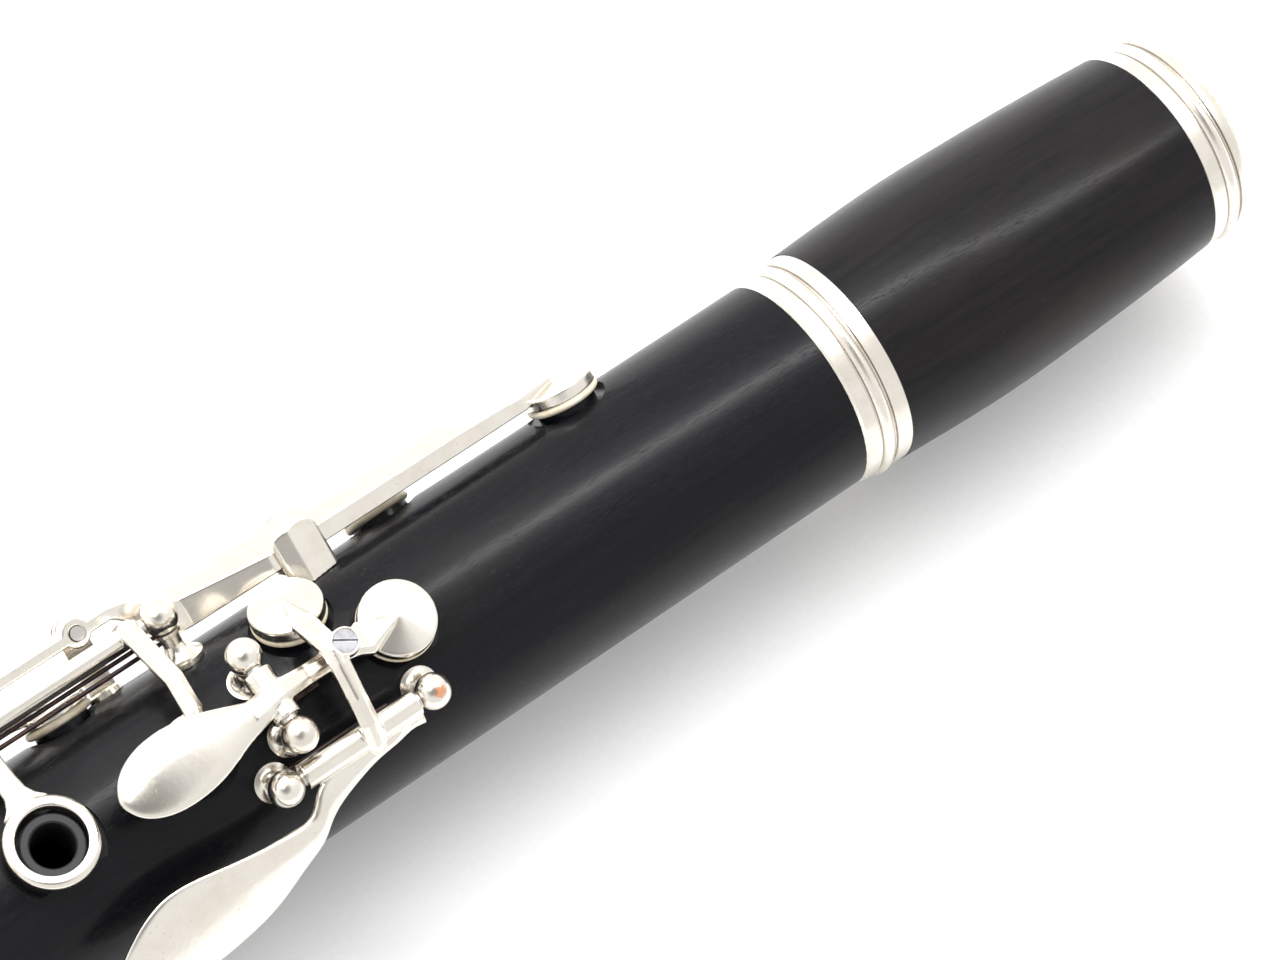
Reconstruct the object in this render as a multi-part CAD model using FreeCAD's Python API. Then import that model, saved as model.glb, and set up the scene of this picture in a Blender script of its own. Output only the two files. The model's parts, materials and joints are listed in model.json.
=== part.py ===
import FreeCAD, Part
import math
import os

# A clarinet's barrel and complete upper joint, with the keywork that belongs to it.
# Lengths are millimetres and angles are degrees.
# The bore is the X axis. The origin is the centre of the barrel's mouth, and +X points out of it.
# +Z is the front, where the finger holes are, and +Y is the side that carries the side keys.
# A place on the joint is given as: down (distance below the barrel's seat), angle (round the
# bore from the front, positive towards the side keys) and radius (from the bore's axis).

# ---- wooden tube
BARREL_LENGTH = 65.0
JOINT_LENGTH = 192.0
JOINT_TOP_RADIUS = 14.54
JOINT_BOTTOM_RADIUS = 14.90
BORE_RADIUS = 7.4
TOP_TENON_LENGTH = 17.0
TOP_TENON_RADIUS = 10.3
TOP_CORK_RADIUS = 11.05
LOWER_TENON_LENGTH = 19.0
LOWER_TENON_RADIUS = 11.1
LOWER_CORK_RADIUS = 11.8
CORK_MARGIN = 2.0

# ---- barrel
SOCKET_RADIUS = 11.2
SOCKET_DEPTH = 17.5
TENON_SOCKET_RADIUS = 11.1
TENON_SOCKET_DEPTH = 17.3
RING_WIDTH = 7.0
TOP_RING_RADIUS = 14.4
LOWER_RING_RADIUS = 15.15
BARREL_BULGE_RADIUS = 15.9
SEAM = 0.05

# ---- fits
ROD_PLAY = 0.04
SEAT_PLAY = 0.03
SNUG = 0.005

# ---- pads and cups
SEAT = 14.9
PAD_SHOWING = 1.05
PAD_SUNK = 0.8
CUP_WALL = 1.75
CUP_RIM = 0.3
POCKET_MARGIN = 0.55
POCKET_FLOOR = 13.9

# ---- finger holes
INDEX_HOLE = 115.1
MIDDLE_HOLE = 142.0
RING_FINGER_HOLE = 168.0
THUMB_HOLE = 104.0
REGISTER_HOLE = 30.0
CHIMNEY_TOP = 16.3
FINGER_ANGLE = -1.9

# ---- A key, turned about an axle that crosses the joint
A_ANGLE = -2.6
A_PIVOT = 84.1
A_PIVOT_RADIUS = 20.2
A_CUP_DOWN = 65.2
A_CUP_RADIUS = 4.92

# ---- G sharp key, on a rod along the joint
GS_ANGLE = -33.0
GS_ROD_RADIUS = 19.0
GS_TOP_BALL = 66.8
GS_LOW_BALL = 88.4
GS_CUP_DOWN = 74.9
GS_CUP_ANGLE = 29.5
GS_CUP_RADIUS = 4.77
GS_SCREW_DOWN = 73.7
GS_SCREW_ANGLE = -2.4

# ---- ring keys, on one long rod along the joint
RING_ROD_ANGLE = 53.4
RING_ROD_RADIUS = 20.9
RING_BALLS = (87.6, 126.0, 147.8)
RING_SWING = 3.85
RING_OUTER = 5.85
RING_INNER = 4.3
RING_SLEEVE_RADIUS = 1.45
VENT_DOWN = 94.6
VENT_ANGLE = -4.0
SMALL_PAD_DOWN = 130.4

# ---- side keys, all turned about axles that cross the joint
SIDE_ANGLE = 64.0
FAR_SIDE_ANGLE = 88.0
SIDE_CUP_ONE = (28.3, 60.0, 4.8)
SIDE_CUP_TWO = (55.0, 81.0, 4.5)
SIDE_CUP_THREE = (103.3, 72.0, 4.5)
SIDE_CUP_FOUR = (122.0, 88.0, 4.6)
TRILL_PIVOT = 96.5
TRILL_HEIGHT = 23.6
GUIDE_DOWN = 67.9
GUIDE_HALF = 3.3
GUIDE_CENTRE = 18.9
SIDE_PIVOT = 131.0
FAR_PIVOT = 141.0
SIDE_HEIGHT = 18.7

# ---- register key, at the back
REGISTER_PIVOT = 60.0
REGISTER_PIVOT_HEIGHT = 20.0
REGISTER_SEAT = 16.6

# ---- thumb ring key, at the back
THUMB_ROD_ANGLE = 130.0
THUMB_ROD_RADIUS = 19.5
THUMB_SWING = 4.0

# ---- left little finger key and sliver key
CS_ANGLE = -50.0
CS_ROD_RADIUS = 19.5
CS_CUP_DOWN = 181.0
CS_CUP_ANGLE = -8.0
EF_ANGLE = -38.0
EF_ROD_RADIUS = 18.8
EF_CUP_DOWN = 155.0
EF_CUP_ANGLE = -76.0

X_AXIS = FreeCAD.Vector(1, 0, 0)


# ---------------------------------------------------------------- places
def outward(angle):
    """Unit vector away from the bore at an angle."""
    turn = math.radians(angle)
    return FreeCAD.Vector(0, math.sin(turn), math.cos(turn))


def sideways(angle):
    """Unit vector round the joint, the way the angle grows."""
    turn = math.radians(angle)
    return FreeCAD.Vector(0, math.cos(turn), -math.sin(turn))


def place(down, angle, radius):
    """Point at a distance below the barrel's seat, an angle and a radius."""
    return X_AXIS * (-BARREL_LENGTH - down) + outward(angle) * radius


def spot(angle, down, across, height):
    """Point in the flat frame that faces an angle."""
    return place(down, angle, height) + sideways(angle) * across


def joint_radius(down):
    """Outside radius of the wood, which widens slowly downwards."""
    share = down / JOINT_LENGTH
    return JOINT_TOP_RADIUS + (JOINT_BOTTOM_RADIUS - JOINT_TOP_RADIUS) * share


# ---------------------------------------------------------------- general solids
def outline(items):
    """Closed wire of (radius, height) points; an inner list is one smooth curve."""
    edges = []
    runs = [item if isinstance(item, list) else [item] for item in items]
    runs.append(runs[0][:1])
    last = None
    for run in runs:
        points = [FreeCAD.Vector(radius, 0, height) for radius, height in run]
        if last is not None and (last - points[0]).Length > 1e-6:
            edges.append(Part.LineSegment(last, points[0]).toShape())
        if len(points) > 1:
            curve = Part.BSplineCurve()
            curve.interpolate(points)
            edges.append(curve.toShape())
        last = points[-1]
    return Part.Wire(edges)


def turned(items, base, axis):
    """Solid turned about an axis through base, from (radius, height) points."""
    solid = Part.Face(outline(items)).revolve(FreeCAD.Vector(), FreeCAD.Vector(0, 0, 1), 360)
    solid = Part.Solid(solid) if solid.ShapeType == "Shell" else solid
    turn = FreeCAD.Rotation(FreeCAD.Vector(0, 0, 1), axis)
    solid.Placement = FreeCAD.Placement(base, turn)
    return solid


def rod(start, end, radius):
    """Round rod between two points."""
    along = end - start
    return Part.makeCylinder(radius, along.Length, start, along)


def pipe(start, end, outer, inner):
    """Round tube between two points."""
    return rod(start, end, outer).cut(rod(start, end, inner))


def joined(shapes):
    """One solid from overlapping shapes."""
    first = shapes[0]
    return first.multiFuse(shapes[1:]).removeSplitter()


def section(centre, across, up, width, depth, bevel):
    """Six-sided outline of a bar whose two top edges are bevelled."""
    half = width / 2.0
    top = depth / 2.0
    bevel = min(bevel, width * 0.38)
    drop = min(bevel, depth * 0.4)
    corners = [(-half, -top), (half, -top), (half, top - drop), (half - bevel, top),
               (bevel - half, top), (-half, top - drop)]
    points = [centre + across * side + up * height for side, height in corners]
    return Part.makePolygon(points + points[:1])


def bar_along(angle, stations, bevel):
    """Lever running down the joint: stations are (down, across, height, width, depth)."""
    wires = []
    for down, across, height, width, depth in stations:
        centre = spot(angle, down, across, height)
        wires.append(section(centre, sideways(angle), outward(angle), width, depth, bevel))
    return Part.makeLoft(wires, True, True)


def sloped_bar(angle, stations):
    """Lever whose top slopes up from its near side: stations are
    (down, near side, far side, bottom, shoulder, top)."""
    wires = []
    for down, near, far, bottom, shoulder, top in stations:
        ease = (far - near) * 0.12
        corners = [(near, bottom), (far, bottom), (far, top - ease), (far - ease, top),
                   (near, shoulder)]
        points = [spot(angle, down, across, height) for across, height in corners]
        wires.append(Part.makePolygon(points + points[:1]))
    return Part.makeLoft(wires, True, True)


def arm_round(stations, bevel):
    """Arm running round the joint: stations are (down, angle, radius, width, depth)."""
    wires = []
    for down, angle, radius, width, depth in stations:
        centre = place(down, angle, radius)
        wires.append(section(centre, X_AXIS, outward(angle), width, depth, bevel))
    return Part.makeLoft(wires, True, True)


def leaf(stations):
    """Smooth touch: stations are (down, angle, radius, half width, half depth, facing angle)."""
    wires = []
    for down, angle, radius, half_width, half_depth, facing in stations:
        centre = place(down, angle, radius)
        side = centre + sideways(facing) * half_width
        top = centre + outward(facing) * half_depth
        ellipse = Part.Ellipse(side, top, centre)
        wires.append(Part.Wire([ellipse.toShape()]))
    return Part.makeLoft(wires, True, False)


def oval_touch(angle, start, end, across, height, half_width, half_depth, facing):
    """Rounded touch with a blunt oval outline, between two distances down."""
    stations = []
    steps = 8
    for step in range(steps + 1):
        along = math.cos(math.pi * (1 - step / float(steps)))
        spread = max(math.sqrt(max(0.0, 1.0 - abs(along) ** 2.6)), 0.12)
        down = (start + end) / 2.0 + along * (end - start) / 2.0
        point = spot(angle, down, across, height)
        turn = math.degrees(math.atan2(point.y, point.z))
        radius = math.hypot(point.y, point.z)
        deep = half_depth * max(spread, 0.45)
        deep = min(deep, half_width * spread * 0.9)
        stations.append((down, turn, radius, half_width * spread, deep, facing))
    return leaf(stations)


# ---------------------------------------------------------------- wood
def wood_blank():
    """Outside of the upper joint before anything is drilled."""
    start = X_AXIS * -BARREL_LENGTH
    return Part.makeCone(JOINT_TOP_RADIUS, JOINT_BOTTOM_RADIUS, JOINT_LENGTH, start, X_AXIS * -1)


def pocket(down, angle, radius, floor):
    """Round flat-bottomed pocket sunk into the wood."""
    return rod(place(down, angle, floor), place(down, angle, 22.0), radius)


def hole(down, angle, radius):
    """Tone hole from the bore out through the wood."""
    return rod(place(down, angle, BORE_RADIUS - 2.0), place(down, angle, 22.0), radius)


PAD_SEATS = (
    # down, angle, cup radius, hole radius
    (A_CUP_DOWN, A_ANGLE, A_CUP_RADIUS, 3.0),
    (GS_CUP_DOWN, GS_CUP_ANGLE, GS_CUP_RADIUS, 2.9),
    (VENT_DOWN, VENT_ANGLE, 4.4, 2.4),
    SIDE_CUP_ONE + (2.6,),
    SIDE_CUP_TWO + (2.6,),
    SIDE_CUP_THREE + (2.4,),
    SIDE_CUP_FOUR + (2.6,),
    (SMALL_PAD_DOWN, 6.0, 3.6, 2.0),
    (CS_CUP_DOWN, CS_CUP_ANGLE, 4.6, 2.8),
    (EF_CUP_DOWN, EF_CUP_ANGLE, 4.6, 2.8),
)


def joint_body(post_holes):
    """Wooden body with tenons, bore, pad seats, finger chimneys and post holes."""
    top = X_AXIS * -(BARREL_LENGTH - TOP_TENON_LENGTH)
    bottom = X_AXIS * -(BARREL_LENGTH + JOINT_LENGTH + LOWER_TENON_LENGTH)
    tenons = [rod(top, X_AXIS * -(BARREL_LENGTH + 5), TOP_TENON_RADIUS),
              rod(bottom, X_AXIS * -(BARREL_LENGTH + JOINT_LENGTH - 5), LOWER_TENON_RADIUS)]
    tenons += [tenon_lip(-1), tenon_lip(1)]
    body = wood_blank()
    pockets = [pocket(down, angle, cup + POCKET_MARGIN, POCKET_FLOOR)
               for down, angle, cup, _ in PAD_SEATS]
    pockets += [pocket(down, FINGER_ANGLE, 6.6, 14.15) for down in (INDEX_HOLE, MIDDLE_HOLE)]
    pockets.append(pocket(THUMB_HOLE, 180, 8.2, 14.0))
    body = body.cut(pockets)
    rims = [rod(place(down, angle, 12.5), place(down, angle, SEAT), opening + 1.3)
            for down, angle, _, opening in PAD_SEATS]
    chimneys = [chimney(MIDDLE_HOLE, 4.05, CHIMNEY_TOP), chimney(RING_FINGER_HOLE, 5.4, 16.1)]
    body = joined([body] + tenons + rims + chimneys)
    cuts = [hole(down, angle, opening) for down, angle, _, opening in PAD_SEATS]
    cuts += [hole(MIDDLE_HOLE, FINGER_ANGLE, 3.3), hole(RING_FINGER_HOLE, FINGER_ANGLE, 3.7)]
    cuts += [hole(INDEX_HOLE, FINGER_ANGLE, 4.0), hole(THUMB_HOLE, 180, 5.2), hole(REGISTER_HOLE, 180, 2.4)]
    cuts.append(rod(top + X_AXIS * 5, bottom - X_AXIS * 5, BORE_RADIUS))
    return body.cut(cuts + post_holes)


def tenon_lip(side):
    """Rounded wooden lip at the end of a tenon, beyond its cork; side is -1 at the top."""
    if side < 0:
        end = -(BARREL_LENGTH - TOP_TENON_LENGTH)
        return turned([(0, -1.6), (10.85, -1.6), (10.85, -0.5), (10.4, 0), (0, 0)],
                      X_AXIS * end, X_AXIS)
    end = -(BARREL_LENGTH + JOINT_LENGTH + LOWER_TENON_LENGTH)
    return turned([(0, -1.6), (11.5, -1.6), (11.5, -0.5), (11.05, 0), (0, 0)],
                  X_AXIS * end, X_AXIS * -1)


def chimney(down, radius, top):
    """Raised wooden chimney round a finger hole, with an eased rim."""
    return turned([(0, 12.0), (radius, 12.0), (radius, top - 0.5), (radius - 0.5, top), (0, top)],
                  place(down, FINGER_ANGLE, 0), outward(FINGER_ANGLE))


def finger_bush():
    """Black bush of the index finger hole, with a flat top round its hole."""
    profile = [(2.8, BORE_RADIUS + 0.6), (3.995, BORE_RADIUS + 0.6), (3.995, CHIMNEY_TOP - 0.2),
               (3.8, CHIMNEY_TOP), (3.0, CHIMNEY_TOP), (2.8, CHIMNEY_TOP - 0.2)]
    return turned(profile, place(INDEX_HOLE, FINGER_ANGLE, 0), outward(FINGER_ANGLE))


def thumb_bush():
    """Bush of the thumb hole, standing proud of the wood."""
    profile = [(3.4, BORE_RADIUS + 0.4), (5.195, BORE_RADIUS + 0.4), (5.195, 15.9), (4.8, 16.3),
               (3.7, 16.3), (3.4, 16.0)]
    return turned(profile, place(THUMB_HOLE, 180, 0), outward(180))


def register_tube():
    """Metal tube of the register vent, from inside the bore to its pad seat."""
    profile = [(1.5, 3.4), (2.395, 3.4), (2.395, 14.2), (3.0, 14.7), (3.0, 15.2), (2.5, 15.5),
               (2.5, REGISTER_SEAT - 0.2), (2.2, REGISTER_SEAT), (1.7, REGISTER_SEAT), (1.5, 16.3)]
    return turned(profile, place(REGISTER_HOLE, 180, 0), outward(180)).cut(collar_bed())


def collar_bed():
    """Wood that lies under the register tube's collar."""
    drilled = hole(REGISTER_HOLE, 180, 2.4)
    return wood_blank().cut(drilled)


def cork(end, length, inner, outer, away):
    """Cork sleeve round a tenon."""
    start = X_AXIS * end
    stop = start + away * length
    return pipe(start, stop, outer, inner)


# ---------------------------------------------------------------- barrel
def barrel_wood():
    """Barrel's wood: a bulged outside between two rebates, a bore and two sockets."""
    length = BARREL_LENGTH
    low = RING_WIDTH + SEAM
    high = length - RING_WIDTH
    bulge = [(LOWER_RING_RADIUS + 0.1, low), (BARREL_BULGE_RADIUS - 0.25, low + 8),
             (BARREL_BULGE_RADIUS, low + 17), (BARREL_BULGE_RADIUS - 0.2, low + 27),
             (TOP_RING_RADIUS + 0.75, low + 40), (TOP_RING_RADIUS + 0.05, high)]
    profile = [(TENON_SOCKET_RADIUS, SEAM + 0.2), (13.4, SEAM + 0.2), (13.4, low), bulge,
               (12.4, high), (12.4, length - 0.25), (SOCKET_RADIUS + 0.3, length - 0.25),
               (SOCKET_RADIUS, length - 0.6), (SOCKET_RADIUS, length - SOCKET_DEPTH),
               (BORE_RADIUS, length - SOCKET_DEPTH), (BORE_RADIUS, TENON_SOCKET_DEPTH),
               (TENON_SOCKET_RADIUS, TENON_SOCKET_DEPTH)]
    return turned(profile, X_AXIS * -length, X_AXIS)


def barrel_ring(bottom, top, inner, start, lip):
    """Metal ring with two flat collars, two grooves and a round bead between them."""
    def outer(height):
        return bottom + (top - bottom) * height / RING_WIDTH
    bead = [(outer(2.55) - 0.28, 2.55), (outer(2.95) + 0.22, 2.95), (outer(3.5) + 0.42, 3.5),
            (outer(4.05) + 0.22, 4.05), (outer(4.45) - 0.28, 4.45)]
    profile = [(inner, 0), (outer(0) - 0.35, 0), (outer(0.35), 0.35), (outer(2.2), 2.2),
               (outer(2.3) - 0.28, 2.3), bead, (outer(4.7) - 0.28, 4.7), (outer(4.8), 4.8)]
    profile += lip
    profile.append((inner, RING_WIDTH))
    return turned(profile, X_AXIS * start, X_AXIS)


def lower_ring():
    """Ring at the barrel's lower end."""
    lip = [(LOWER_RING_RADIUS, RING_WIDTH)]
    return barrel_ring(14.8, LOWER_RING_RADIUS, 13.405, -BARREL_LENGTH + SEAM, lip)


def top_ring():
    """Ring at the barrel's mouth, rounded over at its edge."""
    lip = [[(14.05, 4.8), (14.0, 5.6), (13.75, 6.4), (13.2, 6.95), (13.0, RING_WIDTH)]]
    return barrel_ring(TOP_RING_RADIUS, 14.25, 12.405, -RING_WIDTH, lip)


# ---------------------------------------------------------------- posts
def post(down, angle, height, ball, foot, waist):
    """Ball-topped post: a flared foot on the wood, a waist, a collar, and a shank below."""
    surface = joint_radius(down)
    neck = height - ball * 0.8
    rise = min(2.3, neck - 0.75 - surface)
    flare = [(foot, surface + 0.35), (foot * 0.72, surface + 0.35 + rise * 0.18),
             (waist * 1.15, surface + rise * 0.7), (waist, surface + rise)]
    profile = [(0, surface - 1.4), (foot, surface - 1.4), flare, (waist, neck - 0.7),
               (waist + 0.45, neck - 0.45), (waist + 0.45, neck - 0.05), (waist, neck + 0.1),
               (waist, height), (0, height)]
    stem = turned(profile, place(down, angle, 0), outward(angle))
    stem = stem.fuse(Part.makeSphere(ball, place(down, angle, height)))
    return stem.cut(wood_blank()).fuse(shank(down, angle, 0.0))


def shank(down, angle, play):
    """Stud under a post, sunk into the wood."""
    return rod(place(down, angle, 11.6), place(down, angle, joint_radius(down) + 0.6), 1.3 + play)


def crosswise_posts(down, angle, height, spread, ball):
    """Two posts side by side, whose balls hold an axle that crosses the joint."""
    posts = []
    for side in (-1, 1):
        turn = math.degrees(math.atan2(side * spread, height))
        posts.append(post(down, angle + turn, math.hypot(spread, height), ball, 2.5, 1.15))
    return posts


def post_angles(angle, height, spread):
    """Angles at which a pair of crosswise posts stands."""
    turn = math.degrees(math.atan2(spread, height))
    return (angle - turn, angle + turn)


# ---------------------------------------------------------------- cups and pads
def cup(down, angle, radius, seat, crown, wall=CUP_WALL):
    """Pad cup: a short wall with a shallow conical top and a recess for its pad."""
    inside = radius - CUP_RIM
    profile = [(0, PAD_SUNK), (inside, PAD_SUNK), (inside, 0), (radius - 0.12, 0), (radius, 0.12),
               (radius, wall - 0.2), (radius - 0.2, wall), (0.3, wall + crown),
               (0, wall + crown)]
    return turned(profile, place(down, angle, seat + PAD_SHOWING), outward(angle))


def pad(down, angle, radius, seat):
    """Skin-covered felt pad that bulges a little past its cup and is eased at its edge."""
    inside = radius - CUP_RIM - SNUG
    shown = PAD_SHOWING - SEAT_PLAY - SNUG
    top = shown + PAD_SUNK
    profile = [(0, 0), (radius - 0.7, 0), (radius - 0.2, 0.12), (radius + 0.06, 0.4),
               (radius + 0.06, shown - 0.2), (radius - 0.1, shown), (inside, shown),
               (inside, top), (0, top)]
    return turned(profile, place(down, angle, seat + SEAT_PLAY), outward(angle))


def swung(shape, angle, radius, degrees):
    """Shape turned about a rod that runs along the joint."""
    moved = shape.copy()
    moved.rotate(place(0, angle, radius), X_AXIS, degrees)
    return moved


def finger_ring(down, angle, low, high, inner, outer):
    """Finger ring with eased edges."""
    profile = [(inner, low + 0.1), (inner + 0.1, low), (outer - 0.25, low), (outer, low + 0.25),
               (outer, high - 0.45), (outer - 0.45, high), (inner + 0.15, high), (inner, high - 0.15)]
    return turned(profile, place(down, angle, 0), outward(angle))


# ---------------------------------------------------------------- A key
def a_key():
    """A key: pad cup, lever, sleeve round its crosswise axle, and teardrop touch."""
    half = 3.35
    sleeve = rod(spot(A_ANGLE, A_PIVOT, -half, A_PIVOT_RADIUS),
                 spot(A_ANGLE, A_PIVOT, half, A_PIVOT_RADIUS), 1.9)
    lever = bar_along(A_ANGLE, [
        (A_CUP_DOWN - 0.1, 0, 18.3, 0.3, 0.7),
        (A_CUP_DOWN + 5.0, 0, 18.3, 4.6, 1.7),
        (A_CUP_DOWN + 6.8, 0, 18.9, 3.1, 1.7),
        (74.0, 0, 19.3, 2.6, 1.7),
        (79.0, -0.1, 19.8, 2.5, 1.7),
        (A_PIVOT - 1.0, -0.3, 21.3, 3.0, 1.8),
        (A_PIVOT + 3.6, -0.9, 21.7, 3.4, 1.7)], 0.7)
    touch = leaf([
        (85.2, -5.0, 21.55, 1.55, 0.85, -5.0),
        (87.5, -5.6, 21.6, 1.95, 0.95, -5.8),
        (90.0, -5.3, 21.6, 2.75, 1.05, -6.3),
        (94.0, -5.4, 21.65, 4.15, 1.25, -6.5),
        (98.0, -5.6, 21.65, 4.8, 1.3, -6.5),
        (101.5, -5.8, 21.6, 4.6, 1.2, -6.5),
        (104.3, -6.0, 21.45, 3.6, 0.95, -6.3),
        (105.6, -6.1, 21.35, 2.6, 0.75, -6.2),
        (106.5, -6.1, 21.3, 1.3, 0.45, -6.2),
        (106.85, -6.1, 21.25, 0.4, 0.25, -6.2)])
    whole = joined([cup(A_CUP_DOWN, A_ANGLE, A_CUP_RADIUS, SEAT, 1.0), lever, sleeve, touch])
    return whole.cut(a_bore(ROD_PLAY))


def a_bore(play):
    """Space of the A key's axle."""
    return rod(spot(A_ANGLE, A_PIVOT, -6.9, A_PIVOT_RADIUS),
               spot(A_ANGLE, A_PIVOT, 6.9, A_PIVOT_RADIUS), 1.1 + play)


def a_spring():
    """Flat spring under the A touch, passing below the axle with its free end near the wood."""
    return bar_along(A_ANGLE, [
        (90.2, -1.2, 20.25, 2.4, 0.3),
        (88.6, -1.1, 20.0, 2.4, 0.3),
        (86.2, -0.9, 18.9, 2.3, 0.3),
        (84.1, -0.7, 17.7, 2.2, 0.3),
        (81.0, -0.5, 16.5, 2.1, 0.3),
        (77.5, -0.3, 15.7, 1.9, 0.3)], 0.05)


def flat_spring(angle, down, across, height, length, drop, width):
    """Flat steel spring under a lever, bent down towards the wood."""
    stations = []
    steps = 5
    for step in range(steps + 1):
        share = step / float(steps)
        bent = height - drop * share ** 1.6
        stations.append((down + length * share, across, bent, width - 0.6 * share, 0.3))
    return bar_along(angle, stations, 0.05)


# ---------------------------------------------------------------- G sharp key
def gs_key():
    """G sharp key: sleeve with a flat wing, long leaf touch, and an arm over to its cup."""
    sleeve = rod(place(GS_TOP_BALL + 2.45, GS_ANGLE, GS_ROD_RADIUS),
                 place(GS_LOW_BALL - 2.45, GS_ANGLE, GS_ROD_RADIUS), 1.7)
    wing = leaf([
        (GS_TOP_BALL + 2.5, -38.4, 18.9, 1.2, 0.8, -40.0),
        (73.0, -38.5, 18.9, 1.25, 0.8, -40.0),
        (76.5, -39.2, 19.0, 1.45, 0.85, -41.0),
        (79.5, -40.6, 19.1, 1.75, 0.85, -42.0),
        (82.0, -42.2, 19.25, 2.05, 0.9, -43.0),
        (84.0, -44.2, 19.45, 2.3, 0.9, -45.0),
        (85.6, -47.2, 19.7, 2.4, 0.95, -47.0),
        (87.2, -51.8, 19.95, 2.25, 0.95, -50.5),
        (90.0, -54.0, 20.3, 2.85, 1.05, -55.0),
        (95.0, -56.8, 20.5, 4.6, 1.15, -57.0),
        (100.0, -57.6, 20.5, 5.7, 1.2, -54.5),
        (104.5, -57.5, 20.4, 6.3, 1.15, -52.0),
        (109.0, -57.6, 20.4, 6.05, 1.05, -50.5),
        (112.8, -58.8, 20.4, 4.5, 0.9, -50.0),
        (115.2, -59.4, 20.3, 2.7, 0.65, -50.0),
        (116.6, -59.2, 20.2, 0.9, 0.35, -50.0)])
    arm = arm_round([
        (76.2, -41.3, 19.6, 0.4, 0.8),
        (76.2, -37.0, 20.3, 2.7, 1.5),
        (76.2, -28.0, 21.3, 2.6, 1.9),
        (76.1, -19.0, 22.1, 2.5, 1.9),
        (75.7, -8.0, 22.5, 2.6, 1.8),
        (75.3, -2.5, 22.7, 2.8, 1.8),
        (75.6, 4.0, 22.1, 3.0, 1.8),
        (75.5, 14.0, 20.2, 3.2, 1.7),
        (GS_CUP_DOWN, GS_CUP_ANGLE, 18.3, 0.3, 0.7)], 0.9)
    lug = rod(place(GS_SCREW_DOWN, GS_SCREW_ANGLE, 21.75), place(GS_SCREW_DOWN, GS_SCREW_ANGLE, 23.3), 1.85)
    bridge = arm_round([(GS_SCREW_DOWN + 1.2, -5.5, 22.4, 2.6, 1.3),
                        (GS_SCREW_DOWN + 1.2, 0.8, 22.4, 2.6, 1.3)], 0.2)
    key_cup = cup(GS_CUP_DOWN, GS_CUP_ANGLE, GS_CUP_RADIUS, SEAT, 1.0)
    whole = joined([key_cup, arm, sleeve, wing, lug, bridge])
    screw_way = rod(place(GS_SCREW_DOWN, GS_SCREW_ANGLE, 20.0), place(GS_SCREW_DOWN, GS_SCREW_ANGLE, 24.0), 0.9)
    screw_bed = rod(place(GS_SCREW_DOWN, GS_SCREW_ANGLE, 22.9), place(GS_SCREW_DOWN, GS_SCREW_ANGLE, 24.0), 1.5)
    low_ball = Part.makeSphere(2.6, place(GS_LOW_BALL, GS_ANGLE, GS_ROD_RADIUS))
    return whole.cut([gs_bore(ROD_PLAY), screw_way, screw_bed, low_ball])


def gs_bore(play):
    """Space of the G sharp key's rod."""
    return rod(place(GS_TOP_BALL - 1.6, GS_ANGLE, GS_ROD_RADIUS),
               place(GS_LOW_BALL + 1.6, GS_ANGLE, GS_ROD_RADIUS), 1.0 + play)


def gs_screw():
    """Slotted adjusting screw in the G sharp arm's lug, above the A lever."""
    low = place(GS_SCREW_DOWN, GS_SCREW_ANGLE, 21.5)
    neck = place(GS_SCREW_DOWN, GS_SCREW_ANGLE, 22.9)
    head = place(GS_SCREW_DOWN, GS_SCREW_ANGLE, 23.25)
    body = rod(low, neck, 0.9 - SNUG).fuse(rod(neck, head, 1.5 - SNUG))
    slot = Part.makeBox(4.0, 0.35, 0.6, FreeCAD.Vector(-2.0, -0.175, 0))
    turn = FreeCAD.Rotation(FreeCAD.Vector(0, 0, 1), -33.6)
    slot.Placement = FreeCAD.Placement(place(GS_SCREW_DOWN, GS_SCREW_ANGLE, 23.0), turn)
    return body.cut(slot)


# ---------------------------------------------------------------- ring keys
def ring_bore(play):
    """Space of the ring keys' long rod."""
    return rod(place(RING_BALLS[0] - 1.8, RING_ROD_ANGLE, RING_ROD_RADIUS),
               place(RING_BALLS[2] + 1.8, RING_ROD_ANGLE, RING_ROD_RADIUS), 1.0 + play)


def ring_sleeve(start, end):
    """Sleeve of a ring key round the long rod."""
    return rod(place(start, RING_ROD_ANGLE, RING_ROD_RADIUS),
               place(end, RING_ROD_ANGLE, RING_ROD_RADIUS), RING_SLEEVE_RADIUS)


def ring_arm(down):
    """Arm from the rod's sleeve that flares into the side of a finger ring, ring closed."""
    return arm_round([
        (down, 50.0, 19.8, 4.4, 1.6),
        (down, 41.0, 18.3, 3.2, 1.6),
        (down, 31.0, 17.2, 2.9, 1.6),
        (down, 24.5, 16.7, 3.1, 1.5),
        (down, 20.5, 16.3, 4.3, 1.3),
        (down, 17.0, 16.05, 6.6, 0.9)], 0.35)


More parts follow.
